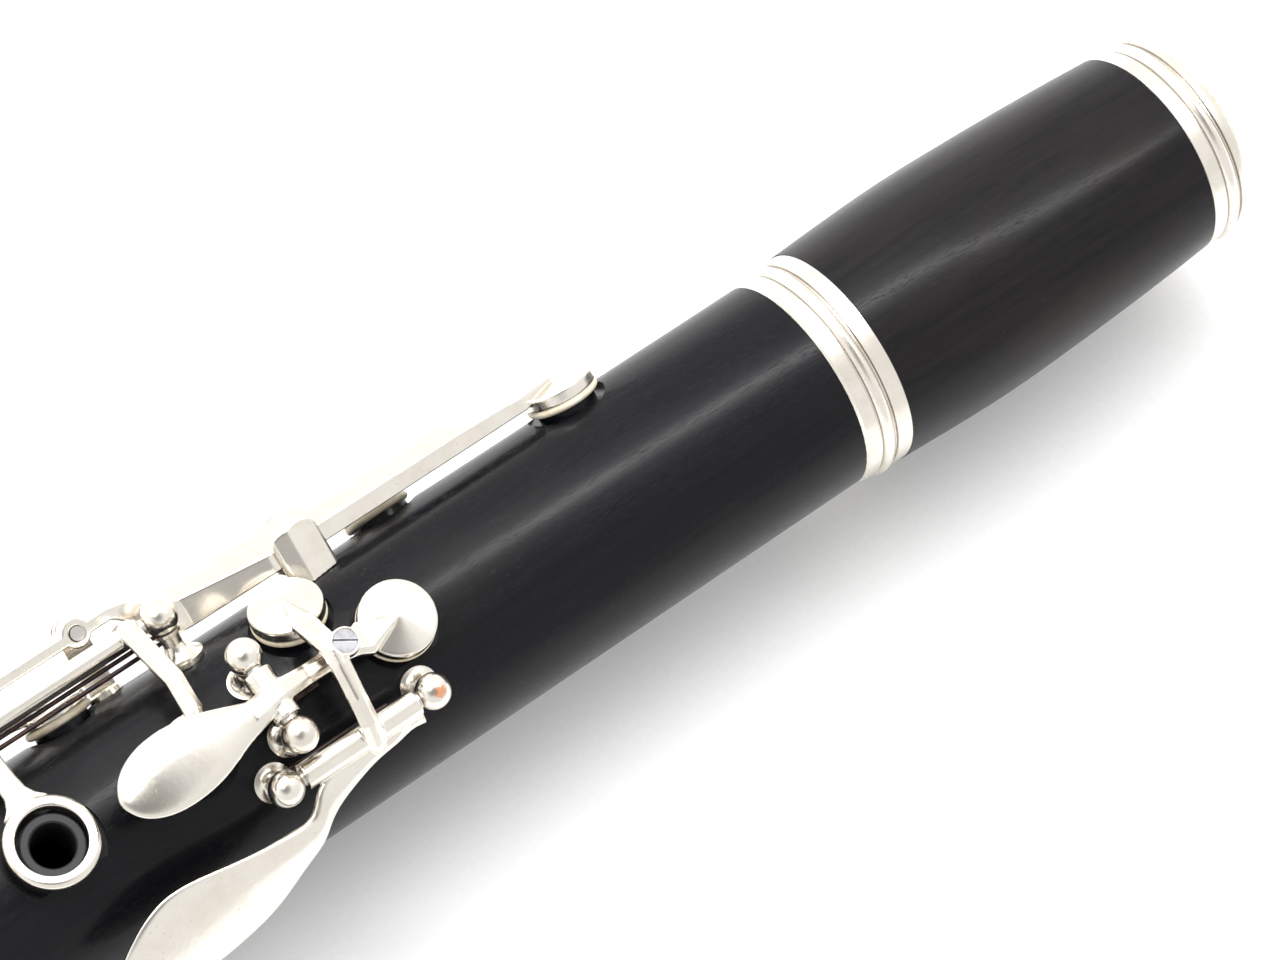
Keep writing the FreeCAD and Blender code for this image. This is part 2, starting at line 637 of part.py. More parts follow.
def index_ring_key():
    """Ring key of the index finger, made closed and then swung open to rest."""
    sleeve = ring_sleeve(RING_BALLS[0] + 2.75, RING_BALLS[1] - 2.6)
    ring = finger_ring(INDEX_HOLE, FINGER_ANGLE, 14.75, 16.35, RING_INNER, RING_OUTER)
    vent_arm = arm_round([
        (91.9, 58.0, 21.6, 3.2, 1.5),
        (91.9, 52.0, 22.2, 2.7, 1.7),
        (92.0, 22.0, 19.3, 2.5, 1.7),
        (92.6, 8.0, 18.3, 2.5, 1.5),
        (93.9, -2.5, 17.6, 2.2, 1.3)], 0.8)
    vent_cup = cup(VENT_DOWN, VENT_ANGLE, 4.4, SEAT, 0.3)
    whole = joined([sleeve, ring, ring_arm(INDEX_HOLE), vent_arm, vent_cup])
    whole = whole.cut(ring_bore(ROD_PLAY))
    return swung(whole, RING_ROD_ANGLE, RING_ROD_RADIUS, -RING_SWING)


def middle_ring_key():
    """Ring key of the middle finger, with a small pad and the bridge to the lower joint."""
    sleeve = ring_sleeve(RING_BALLS[1] + 2.6, RING_BALLS[2] - 2.6)
    ring = finger_ring(MIDDLE_HOLE, FINGER_ANGLE, 14.75, 16.35, RING_INNER, RING_OUTER)
    pad_arm = arm_round([
        (SMALL_PAD_DOWN, 52.0, 19.8, 3.0, 1.5),
        (SMALL_PAD_DOWN, 40.0, 18.6, 2.8, 1.5),
        (SMALL_PAD_DOWN, 24.0, 18.1, 2.6, 1.4),
        (SMALL_PAD_DOWN, 8.0, 17.6, 2.2, 1.2)], 0.4)
    small_cup = cup(SMALL_PAD_DOWN, 6.0, 3.6, SEAT, 0.3)
    bridge = bar_along(40.0, [
        (138.6, 0.6, 18.1, 3.4, 1.6),
        (147.0, -0.3, 18.4, 3.2, 1.6),
        (180.0, -0.6, 18.4, 3.2, 1.6),
        (184.0, -0.6, 17.8, 5.4, 1.3),
        (190.5, -0.6, 17.8, 5.4, 1.3)], 0.4)
    whole = joined([sleeve, ring, ring_arm(MIDDLE_HOLE), pad_arm, small_cup, bridge])
    whole = whole.cut(ring_bore(ROD_PLAY))
    return swung(whole, RING_ROD_ANGLE, RING_ROD_RADIUS, -RING_SWING)


# ---------------------------------------------------------------- side keys
def side_bore(angle, down, height, start, end, play):
    """Space of an axle that crosses the side of the joint."""
    return rod(spot(angle, down, start, height), spot(angle, down, end, height), 0.9 + play)


def long_side_key():
    """Uppermost side key, with the longest lever."""
    lever = sloped_bar(SIDE_ANGLE, [
        (28.7, -1.9, -1.4, 17.9, 18.7, 18.9),
        (33.8, -3.4, -0.15, 17.0, 18.8, 19.6),
        (38.0, -3.4, -0.15, 17.0, 19.1, 20.2),
        (45.0, -3.4, -0.15, 17.0, 19.2, 20.7),
        (72.0, -3.4, -0.15, 17.0, 19.4, 21.0),
        (83.5, -0.6, 2.3, 16.5, 20.3, 21.9),
        (86.2, -0.5, 2.3, 16.7, 21.5, 22.8),
        (89.4, -0.5, 2.3, 20.6, 23.7, 24.6),
        (92.0, -0.5, 2.3, 22.7, 24.2, 24.9),
        (100.0, -0.5, 2.3, 22.7, 24.1, 24.5),
        (149.0, -0.5, 2.3, 22.7, 24.1, 24.5),
        (154.0, -1.7, 1.7, 23.0, 24.2, 24.5)])
    boss = rod(spot(SIDE_ANGLE, TRILL_PIVOT, -0.5, TRILL_HEIGHT),
               spot(SIDE_ANGLE, TRILL_PIVOT, 2.3, TRILL_HEIGHT), 1.9)
    touch = oval_touch(SIDE_ANGLE, 150.5, 167.0, -0.7, 23.8, 3.6, 1.0, SIDE_ANGLE - 2.0)
    down, angle, radius = SIDE_CUP_ONE
    whole = joined([cup(down, angle, radius, SEAT, 0.6), lever, boss, touch])
    return whole.cut(trill_bore(ROD_PLAY))


def short_side_key():
    """Second side key, whose lever runs beside the longest one."""
    lever = sloped_bar(SIDE_ANGLE, [
        (54.4, 5.0, 5.5, 17.4, 18.3, 18.5),
        (58.0, 3.6, 6.4, 17.3, 18.8, 19.6),
        (61.5, 0.7, 3.6, 17.6, 20.0, 21.2),
        (64.0, 0.3, 3.2, 17.6, 20.2, 21.5),
        (72.0, 0.3, 3.2, 17.6, 20.2, 21.5),
        (82.5, 3.1, 5.9, 18.3, 20.8, 21.9),
        (86.2, 3.6, 6.4, 19.5, 21.9, 22.9),
        (90.0, 4.3, 7.1, 22.3, 24.0, 24.7),
        (100.0, 4.3, 7.1, 22.7, 24.1, 24.5),
        (147.0, 4.3, 7.1, 22.7, 24.1, 24.5),
        (154.0, 5.3, 8.7, 21.4, 22.5, 22.8)])
    boss = rod(spot(SIDE_ANGLE, TRILL_PIVOT, 4.3, TRILL_HEIGHT),
               spot(SIDE_ANGLE, TRILL_PIVOT, 7.1, TRILL_HEIGHT), 1.9)
    touch = oval_touch(SIDE_ANGLE, 150.5, 167.0, 7.7, 22.0, 3.5, 1.0, SIDE_ANGLE + 18.0)
    down, angle, radius = SIDE_CUP_TWO
    whole = joined([cup(down, angle, radius, SEAT, 0.6), lever, boss, touch])
    return whole.cut(trill_bore(ROD_PLAY))


def trill_bore(play):
    """Space of the axle shared by the two long side keys."""
    return side_bore(SIDE_ANGLE, TRILL_PIVOT, TRILL_HEIGHT, -0.9, 7.4, play)


def lower_side_key(angle, place_of_cup, pivot, across):
    """Lower side key, which runs under the long ones: cup, lever, boss and raised touch."""
    cup_down, cup_angle, cup_radius = place_of_cup
    low = SIDE_HEIGHT
    cup_across = 17.4 * math.sin(math.radians(cup_angle - angle))
    lever = bar_along(angle, [
        (cup_down - 0.5, cup_across, 17.3, 0.6, 0.7),
        (cup_down + 4.6, (cup_across + across) / 2.0, 18.1, 3.0, 1.6),
        (cup_down + 8.0, across, low, 2.8, 1.6),
        (pivot + 4.0, across, low, 2.8, 1.6),
        (pivot + 12.0, across, low - 0.6, 2.8, 1.6),
        (166.0, across, low - 0.6, 2.8, 1.6),
        (172.0, 0, 20.2, 3.4, 1.6)], 0.4)
    boss = rod(spot(angle, pivot, across - 1.4, low), spot(angle, pivot, across + 1.4, low), 1.8)
    touch = oval_touch(angle, 169.0, 186.0, 0, 20.5, 3.6, 1.0, angle)
    key_cup = cup(cup_down, cup_angle, cup_radius, SEAT, 0.3, 1.4)
    whole = joined([key_cup, lever, boss, touch])
    return whole.cut(side_bore(angle, pivot, low, -8.0, 8.0, ROD_PLAY))


def blade_post(angle, down, left, right, low, top, half):
    """Flat post with a domed top and a round foot plate, for an axle that crosses it."""
    width = right - left
    centre = top - half
    block = Part.makeBox(2 * half, width, centre - low, FreeCAD.Vector(-half, left, low))
    dome = Part.makeCylinder(half, width, FreeCAD.Vector(0, left, centre),
                             FreeCAD.Vector(0, 1, 0))
    shape = block.fuse(dome)
    turn = FreeCAD.Rotation(X_AXIS, sideways(angle), outward(angle), "XZY")
    shape.Placement = FreeCAD.Placement(place(down, angle, 0), turn)
    return shape


def near_cheek():
    """Guide's near cheek: two flat facets that run up into one round-topped dome."""
    inner = -3.55
    high = 23.0
    low = 11.0
    edges = [(-GUIDE_HALF, inner), (-GUIDE_HALF, -3.9), (-GUIDE_HALF + 0.5, -4.35), (-0.8, -4.9),
             (GUIDE_HALF - 0.5, -4.3), (GUIDE_HALF, -3.85), (GUIDE_HALF, inner)]
    points = [FreeCAD.Vector(along, across, low) for along, across in edges]
    column = Part.Face(Part.makePolygon(points + points[:1]))
    column = column.extrude(FreeCAD.Vector(0, 0, high - low))
    side = 2 * GUIDE_HALF
    trunk = Part.makeBox(side, 3.0, GUIDE_CENTRE - low, FreeCAD.Vector(-GUIDE_HALF, -6.0, low))
    arch = Part.makeCylinder(GUIDE_HALF, 3.0, FreeCAD.Vector(0, -6.0, GUIDE_CENTRE),
                             FreeCAD.Vector(0, 1, 0))
    dome = Part.makeSphere(6.1, FreeCAD.Vector(0, 0.6, GUIDE_CENTRE - 0.6))
    shape = column.common(trunk.fuse(arch)).common(trunk.fuse(dome))
    turn = FreeCAD.Rotation(X_AXIS, sideways(SIDE_ANGLE), outward(SIDE_ANGLE), "XZY")
    shape.Placement = FreeCAD.Placement(place(GUIDE_DOWN, SIDE_ANGLE, 0), turn)
    return shape


def guide():
    """Saddle that guides the two long side levers between two domed cheeks."""
    far = blade_post(SIDE_ANGLE, GUIDE_DOWN - 0.5, 3.5, 4.5, 11.0, 21.9, 2.7)
    floor = rod(place(GUIDE_DOWN - 2.8, 0, 0), place(GUIDE_DOWN + 2.8, 0, 0), 15.7)
    floor = floor.common(blade_post(SIDE_ANGLE, GUIDE_DOWN, -4.0, 4.4, 11.0, 22.0, 2.8))
    shape = joined([near_cheek(), far, floor]).cut(wood_blank())
    return shape.fuse(shank(GUIDE_DOWN, SIDE_ANGLE, 0.0))


def trill_post():
    """Post between the two long side levers that holds their axle."""
    blade = blade_post(SIDE_ANGLE, TRILL_PIVOT, 2.75, 3.85, 12.0, 25.4, 1.8)
    surface = joint_radius(TRILL_PIVOT)
    foot = turned([(0, 11.5), (2.4, 11.5), (2.4, surface + 0.5), (2.0, surface + 0.8),
                   (0, surface + 0.8)], place(TRILL_PIVOT, SIDE_ANGLE + 12.5, 0),
                  outward(SIDE_ANGLE + 12.5))
    shape = joined([blade, foot]).cut(wood_blank())
    shape = shape.fuse(shank(TRILL_PIVOT, SIDE_ANGLE + 12.5, 0.0))
    return shape.cut(trill_bore(SNUG))


def side_posts():
    """Pairs of small posts that hold the two lower side levers."""
    pair = crosswise_posts(SIDE_PIVOT, SIDE_ANGLE, SIDE_HEIGHT, 4.4, 1.7)
    pair = pair[1:] + crosswise_posts(FAR_PIVOT, FAR_SIDE_ANGLE, SIDE_HEIGHT, 4.0, 1.7)
    return pair


# ---------------------------------------------------------------- register key
def register_key():
    """Register key at the back: small cup, lever, sleeve and thumb touch."""
    half = 2.9
    height = REGISTER_PIVOT_HEIGHT
    sleeve = rod(spot(180, REGISTER_PIVOT, -half, height),
                 spot(180, REGISTER_PIVOT, half, height), 1.8)
    lever = bar_along(180, [
        (REGISTER_HOLE - 1.5, 0, 19.2, 1.2, 0.9),
        (REGISTER_HOLE + 4.0, 0, 19.9, 3.4, 1.7),
        (REGISTER_PIVOT, 0, 21.0, 3.6, 1.8),
        (REGISTER_PIVOT + 8.0, 0, 20.8, 3.4, 1.7)], 0.45)
    touch = oval_touch(180, REGISTER_PIVOT + 5.0, 92.0, 0, 20.8, 4.2, 1.15, 180)
    small = turned([(0, 0.7), (3.1, 0.7), (3.1, 0), (3.4, 0), (3.4, 1.3), (3.2, 1.5),
                    (0.3, 2.0), (0, 2.0)], place(REGISTER_HOLE, 180, REGISTER_SEAT + 1.0),
                   outward(180))
    whole = joined([small, lever, sleeve, touch])
    return whole.cut(register_bore(ROD_PLAY))


def register_bore(play):
    """Space of the register key's axle."""
    return rod(spot(180, REGISTER_PIVOT, -6.3, REGISTER_PIVOT_HEIGHT),
               spot(180, REGISTER_PIVOT, 6.3, REGISTER_PIVOT_HEIGHT), 1.0 + play)


def register_pad():
    """Small pad on the register tube's rim."""
    return turned([(0, SEAT_PLAY), (2.8, SEAT_PLAY), (3.1, 0.3), (3.1, 1.7 - SNUG),
                   (0, 1.7 - SNUG)], place(REGISTER_HOLE, 180, REGISTER_SEAT), outward(180))


# ---------------------------------------------------------------- thumb ring key
def thumb_bore(play):
    """Space of the thumb ring key's rod."""
    return rod(place(THUMB_HOLE - 12.6, THUMB_ROD_ANGLE, THUMB_ROD_RADIUS),
               place(THUMB_HOLE + 12.6, THUMB_ROD_ANGLE, THUMB_ROD_RADIUS), 1.0 + play)


def thumb_ring_key():
    """Thumb ring key, made closed and then swung open to rest."""
    sleeve = rod(place(THUMB_HOLE - 8.6, THUMB_ROD_ANGLE, THUMB_ROD_RADIUS),
                 place(THUMB_HOLE + 8.6, THUMB_ROD_ANGLE, THUMB_ROD_RADIUS), 1.75)
    ring = finger_ring(THUMB_HOLE, 180, 14.8, 16.4, 5.65, 7.3)
    arm = arm_round([
        (THUMB_HOLE, 133.0, 18.6, 4.4, 1.6),
        (THUMB_HOLE, 141.0, 18.1, 3.6, 1.6),
        (THUMB_HOLE, 150.0, 17.2, 3.4, 1.5),
        (THUMB_HOLE, 157.5, 16.7, 3.8, 1.2)], 0.35)
    whole = joined([sleeve, ring, arm]).cut(thumb_bore(ROD_PLAY))
    return swung(whole, THUMB_ROD_ANGLE, THUMB_ROD_RADIUS, THUMB_SWING)


# ---------------------------------------------------------------- little finger and sliver keys
def cs_bore(play):
    """Space of the C sharp key's rod."""
    return rod(place(CS_CUP_DOWN - 9.9, CS_ANGLE, CS_ROD_RADIUS),
               place(CS_CUP_DOWN + 7.9, CS_ANGLE, CS_ROD_RADIUS), 1.0 + play)


def cs_key():
    """C sharp key: cup on an arm, sleeve, and a little finger touch past the joint's end."""
    sleeve = rod(place(CS_CUP_DOWN - 5.9, CS_ANGLE, CS_ROD_RADIUS),
                 place(CS_CUP_DOWN + 3.9, CS_ANGLE, CS_ROD_RADIUS), 1.7)
    arm = arm_round([
        (CS_CUP_DOWN, -50.0, 20.9, 3.2, 1.7),
        (CS_CUP_DOWN, -38.0, 20.6, 3.2, 1.7),
        (CS_CUP_DOWN, -24.0, 19.2, 3.2, 1.6),
        (CS_CUP_DOWN, -14.0, 18.1, 2.8, 1.4),
        (CS_CUP_DOWN, -7.5, 17.8, 1.0, 0.9)], 0.45)
    touch = leaf([
        (CS_CUP_DOWN - 5.0, -56.0, 19.4, 1.7, 0.8, -58.0),
        (CS_CUP_DOWN + 1.0, -58.0, 19.5, 1.9, 0.85, -60.0),
        (CS_CUP_DOWN + 7.0, -65.0, 20.2, 1.8, 0.9, -66.0),
        (CS_CUP_DOWN + 12.0, -69.0, 20.8, 2.3, 1.0, -68.0),
        (CS_CUP_DOWN + 18.0, -70.0, 21.2, 4.0, 1.15, -68.0),
        (CS_CUP_DOWN + 24.0, -69.0, 21.3, 4.6, 1.15, -66.0),
        (CS_CUP_DOWN + 28.5, -68.0, 21.2, 3.6, 0.95, -66.0),
        (CS_CUP_DOWN + 31.0, -67.5, 21.1, 2.0, 0.6, -66.0),
        (CS_CUP_DOWN + 32.0, -67.0, 21.0, 0.8, 0.35, -66.0)])
    key_cup = cup(CS_CUP_DOWN, CS_CUP_ANGLE, 4.6, SEAT, 0.4)
    low_ball = Part.makeSphere(2.5, place(CS_CUP_DOWN + 6.3, CS_ANGLE, CS_ROD_RADIUS))
    return joined([key_cup, arm, sleeve, touch]).cut([cs_bore(ROD_PLAY), low_ball])


def ef_bore(play):
    """Space of the sliver key's rod."""
    return rod(place(EF_CUP_DOWN - 8.9, EF_ANGLE, EF_ROD_RADIUS),
               place(EF_CUP_DOWN + 8.9, EF_ANGLE, EF_ROD_RADIUS), 0.9 + play)


def ef_key():
    """Sliver key between two finger holes, with its cup on the far side of its rod."""
    sleeve = rod(place(EF_CUP_DOWN - 4.9, EF_ANGLE, EF_ROD_RADIUS),
                 place(EF_CUP_DOWN + 4.9, EF_ANGLE, EF_ROD_RADIUS), 1.6)
    arm = arm_round([
        (EF_CUP_DOWN, -36.0, 19.8, 3.0, 1.6),
        (EF_CUP_DOWN, -48.0, 19.6, 3.0, 1.6),
        (EF_CUP_DOWN, -62.0, 18.6, 2.8, 1.5),
        (EF_CUP_DOWN, -76.5, 17.8, 1.0, 0.9)], 0.4)
    sliver = arm_round([
        (EF_CUP_DOWN, -37.0, 19.9, 3.6, 1.6),
        (EF_CUP_DOWN, -28.0, 19.3, 4.2, 1.5),
        (EF_CUP_DOWN, -20.0, 18.6, 7.2, 1.5),
        (EF_CUP_DOWN, -8.0, 18.0, 8.6, 1.4),
        (EF_CUP_DOWN, -4.0, 17.9, 6.8, 1.1)], 0.45)
    key_cup = cup(EF_CUP_DOWN, EF_CUP_ANGLE, 4.6, SEAT, 0.4)
    return joined([key_cup, arm, sliver, sleeve]).cut(ef_bore(ROD_PLAY))


# ---------------------------------------------------------------- springs
def needle(down, far_down, angle, radius, play=0.0):
    """Needle spring from a post along its key's sleeve."""
    return rod(place(down, angle, radius), place(far_down, angle, radius), 0.3 + play)


def index_needles(play):
    """Pair of long needle springs set in the uppermost post of the ring keys."""
    start = RING_BALLS[0] + 0.4
    end = RING_BALLS[1] - 4.0
    return [needle(start, end, RING_ROD_ANGLE, 18.9, play),
            needle(start, end, RING_ROD_ANGLE - 1.0, 17.9, play)]


# ---------------------------------------------------------------- build
def build():
    """All nodes by name."""
    shapes = {}
    a_sides = post_angles(A_ANGLE, A_PIVOT_RADIUS, 5.8)
    register_sides = post_angles(180, REGISTER_PIVOT_HEIGHT, 5.2)
    lower_sides = post_angles(SIDE_ANGLE, SIDE_HEIGHT, 4.4)[1:]
    far_sides = post_angles(FAR_SIDE_ANGLE, SIDE_HEIGHT, 4.0)
    ring_downs = RING_BALLS
    thumb_downs = (THUMB_HOLE - 11.2, THUMB_HOLE + 11.2)
    cs_downs = (CS_CUP_DOWN - 8.4, CS_CUP_DOWN + 6.3)
    ef_downs = (EF_CUP_DOWN - 7.3, EF_CUP_DOWN + 7.3)

    standing = [(A_PIVOT, angle) for angle in a_sides]
    standing += [(REGISTER_PIVOT, angle) for angle in register_sides]
    standing += [(SIDE_PIVOT, angle) for angle in lower_sides]
    standing += [(FAR_PIVOT, angle) for angle in far_sides]
    standing += [(GUIDE_DOWN, SIDE_ANGLE), (TRILL_PIVOT, SIDE_ANGLE + 12.5)]
    standing += [(down, GS_ANGLE) for down in (GS_TOP_BALL, GS_LOW_BALL)]
    standing += [(down, RING_ROD_ANGLE) for down in ring_downs]
    standing += [(down, THUMB_ROD_ANGLE) for down in thumb_downs]
    standing += [(down, CS_ANGLE) for down in cs_downs]
    standing += [(down, EF_ANGLE) for down in ef_downs]
    shapes["upper_joint_body"] = joint_body([shank(down, angle, SNUG) for down, angle in standing])

    top_end = -(BARREL_LENGTH - TOP_TENON_LENGTH)
    low_end = -(BARREL_LENGTH + JOINT_LENGTH + LOWER_TENON_LENGTH)
    shapes["top_tenon_cork"] = cork(top_end - 1.6, TOP_TENON_LENGTH - 1.6 - CORK_MARGIN,
                                    TOP_TENON_RADIUS, TOP_CORK_RADIUS, X_AXIS * -1)
    shapes["lower_tenon_cork"] = cork(low_end + 1.6, LOWER_TENON_LENGTH - 1.6 - CORK_MARGIN,
                                      LOWER_TENON_RADIUS, LOWER_CORK_RADIUS, X_AXIS)
    shapes["index_hole_bush"] = finger_bush()
    shapes["thumb_hole_bush"] = thumb_bush()
    shapes["register_vent_tube"] = register_tube()

    shapes["barrel_body"] = barrel_wood()
    shapes["barrel_top_ring"] = top_ring()
    shapes["barrel_lower_ring"] = lower_ring()

    posts = crosswise_posts(A_PIVOT, A_ANGLE, A_PIVOT_RADIUS, 5.8, 2.3)
    shapes["a_key_posts"] = bored(posts, a_bore(SNUG))
    shapes["a_key_axle"] = a_bore(0.0)
    shapes["a_key"] = a_key()
    shapes["a_key_pad"] = pad(A_CUP_DOWN, A_ANGLE, A_CUP_RADIUS, SEAT)
    shapes["a_key_spring"] = a_spring()

    posts = [post(down, GS_ANGLE, GS_ROD_RADIUS, 2.3, 2.5, 1.15)
             for down in (GS_TOP_BALL, GS_LOW_BALL)]
    shapes["g_sharp_key_posts"] = bored(posts, gs_bore(SNUG))
    shapes["g_sharp_key_rod"] = gs_bore(0.0)
    shapes["g_sharp_key"] = gs_key()
    shapes["g_sharp_key_pad"] = pad(GS_CUP_DOWN, GS_CUP_ANGLE, GS_CUP_RADIUS, SEAT)
    shapes["g_sharp_adjusting_screw"] = gs_screw()

    posts = [post(down, RING_ROD_ANGLE, RING_ROD_RADIUS, 2.45, 3.1, 1.35) for down in ring_downs]
    shapes["ring_key_posts"] = bored(posts, [ring_bore(SNUG)] + index_needles(SNUG))
    shapes["ring_key_rod"] = ring_bore(0.0)
    shapes["index_ring_key"] = index_ring_key()
    shapes["vent_pad"] = swung(pad(VENT_DOWN, VENT_ANGLE, 4.4, SEAT), RING_ROD_ANGLE,
                               RING_ROD_RADIUS, -RING_SWING)
    shapes["middle_ring_key"] = middle_ring_key()
    shapes["middle_ring_pad"] = swung(pad(SMALL_PAD_DOWN, 6.0, 3.6, SEAT), RING_ROD_ANGLE,
                                      RING_ROD_RADIUS, -RING_SWING)

    shapes["side_lever_guide"] = guide()
    shapes["long_side_key_post"] = trill_post()
    shapes["long_side_key_axle"] = trill_bore(0.0)
    shapes["side_key_one"] = long_side_key()
    shapes["side_pad_one"] = pad(*SIDE_CUP_ONE, SEAT)
    shapes["side_key_two"] = short_side_key()
    shapes["side_pad_two"] = pad(*SIDE_CUP_TWO, SEAT)
    lower_axle = side_bore(SIDE_ANGLE, SIDE_PIVOT, SIDE_HEIGHT, -1.0, 5.6, 0.0)
    far_axle = side_bore(FAR_SIDE_ANGLE, FAR_PIVOT, SIDE_HEIGHT, -5.2, 5.2, 0.0)
    lower_bores = [side_bore(SIDE_ANGLE, SIDE_PIVOT, SIDE_HEIGHT, -1.0, 5.6, SNUG),
                   side_bore(FAR_SIDE_ANGLE, FAR_PIVOT, SIDE_HEIGHT, -5.2, 5.2, SNUG)]
    shapes["lower_side_key_posts"] = Part.makeCompound(
        [one.cut(lower_bores) for one in side_posts()])
    shapes["lower_side_key_axles"] = Part.makeCompound([lower_axle, far_axle])
    shapes["side_key_three"] = lower_side_key(SIDE_ANGLE, SIDE_CUP_THREE, SIDE_PIVOT, 0.6)
    shapes["side_pad_three"] = pad(*SIDE_CUP_THREE, SEAT)
    shapes["side_key_four"] = lower_side_key(FAR_SIDE_ANGLE, SIDE_CUP_FOUR, FAR_PIVOT, 0.0)
    shapes["side_pad_four"] = pad(*SIDE_CUP_FOUR, SEAT)

    posts = crosswise_posts(REGISTER_PIVOT, 180, REGISTER_PIVOT_HEIGHT, 5.2, 2.2)
    shapes["register_key_posts"] = bored(posts, register_bore(SNUG))
    shapes["register_key_axle"] = register_bore(0.0)
    shapes["register_key"] = register_key()
    shapes["register_key_pad"] = register_pad()
    shapes["register_key_spring"] = flat_spring(180, REGISTER_PIVOT + 2.2, 0, 19.9, 16.0, 2.2, 2.4)

    posts = [post(down, THUMB_ROD_ANGLE, THUMB_ROD_RADIUS, 2.3, 2.6, 1.2) for down in thumb_downs]
    shapes["thumb_ring_key_posts"] = bored(posts, thumb_bore(SNUG))
    shapes["thumb_ring_key_rod"] = thumb_bore(0.0)
    shapes["thumb_ring_key"] = thumb_ring_key()

    posts = [post(down, CS_ANGLE, CS_ROD_RADIUS, 2.2, 2.5, 1.15) for down in cs_downs]
    shapes["c_sharp_key_posts"] = bored(posts, cs_bore(SNUG))
    shapes["c_sharp_key_rod"] = cs_bore(0.0)
    shapes["c_sharp_key"] = cs_key()
    shapes["c_sharp_key_pad"] = pad(CS_CUP_DOWN, CS_CUP_ANGLE, 4.6, SEAT)

    posts = [post(down, EF_ANGLE, EF_ROD_RADIUS, 2.1, 2.4, 1.1) for down in ef_downs]
    shapes["sliver_key_posts"] = bored(posts, ef_bore(SNUG))
    shapes["sliver_key_rod"] = ef_bore(0.0)
    shapes["sliver_key"] = ef_key()
    shapes["sliver_key_pad"] = pad(EF_CUP_DOWN, EF_CUP_ANGLE, 4.6, SEAT)

    shapes["needle_springs"] = Part.makeCompound(index_needles(0.0) + [
        needle(146.3, 134.0, 49.5, 17.9),
        needle(112.6, 99.0, 127.0, 17.2),
        needle(86.2, 72.0, -30.0, 16.6),
        needle(185.0, 177.0, -47.0, 17.3)])
    return shapes


def bored(posts, spaces):
    """Posts as one group, each drilled for the rod they share."""
    return Part.makeCompound([one.cut(spaces) for one in posts])


def write_all():
    """Write one STEP file per node and print a line on each."""
    os.makedirs("parts", exist_ok=True)
    for name, shape in build().items():
        shape.exportStep("parts/" + name + ".step")
        print("%-26s valid %s solids %d volume %.1f" % (
            name, shape.isValid(), len(shape.Solids), shape.Volume))


write_all()
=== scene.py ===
import json
import math

import bpy
from mathutils import Matrix, Vector


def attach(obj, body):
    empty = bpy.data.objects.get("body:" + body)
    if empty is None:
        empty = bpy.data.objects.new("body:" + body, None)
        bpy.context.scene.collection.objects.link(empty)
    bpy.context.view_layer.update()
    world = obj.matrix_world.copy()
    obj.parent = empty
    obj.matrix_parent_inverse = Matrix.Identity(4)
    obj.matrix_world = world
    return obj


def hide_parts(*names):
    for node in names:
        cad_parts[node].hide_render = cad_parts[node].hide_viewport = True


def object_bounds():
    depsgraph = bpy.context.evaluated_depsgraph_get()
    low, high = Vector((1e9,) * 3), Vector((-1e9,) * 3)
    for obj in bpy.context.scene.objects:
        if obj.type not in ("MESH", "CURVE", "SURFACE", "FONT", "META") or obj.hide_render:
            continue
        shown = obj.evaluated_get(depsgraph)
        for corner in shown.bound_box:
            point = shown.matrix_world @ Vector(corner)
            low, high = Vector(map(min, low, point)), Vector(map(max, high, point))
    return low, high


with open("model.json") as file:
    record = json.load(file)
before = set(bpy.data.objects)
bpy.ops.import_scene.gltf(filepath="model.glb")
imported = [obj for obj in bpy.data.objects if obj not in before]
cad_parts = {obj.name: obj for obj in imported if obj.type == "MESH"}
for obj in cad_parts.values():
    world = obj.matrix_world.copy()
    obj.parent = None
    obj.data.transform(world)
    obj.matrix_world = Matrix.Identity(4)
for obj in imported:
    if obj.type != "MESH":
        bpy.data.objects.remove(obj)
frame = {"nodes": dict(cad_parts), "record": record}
CAD_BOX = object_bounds()

MM = 0.001

# The camera: where it stands, which way its picture's right, down and depth point, and its lens.
CAMERA_AT = Vector((-301.35, -141.04, 617.72)) * MM
CAMERA_RIGHT = Vector((0.79095, -0.59691, 0.13452))
CAMERA_DEPTH = Vector((0.31746, 0.21237, -0.92419))
LENS = 149.6
SENSOR = 36.0

# The middle of the object, and the surface that it rests on.
MIDDLE = (CAD_BOX[0] + CAD_BOX[1]) / 2
FLOOR_HEIGHT = CAD_BOX[0].z

# The dim patch of ceiling round the camera: its half angle and its brightness at the middle.
CEILING_ANGLE = 40.0
CEILING = 0.30


# ---------------------------------------------------------------- materials

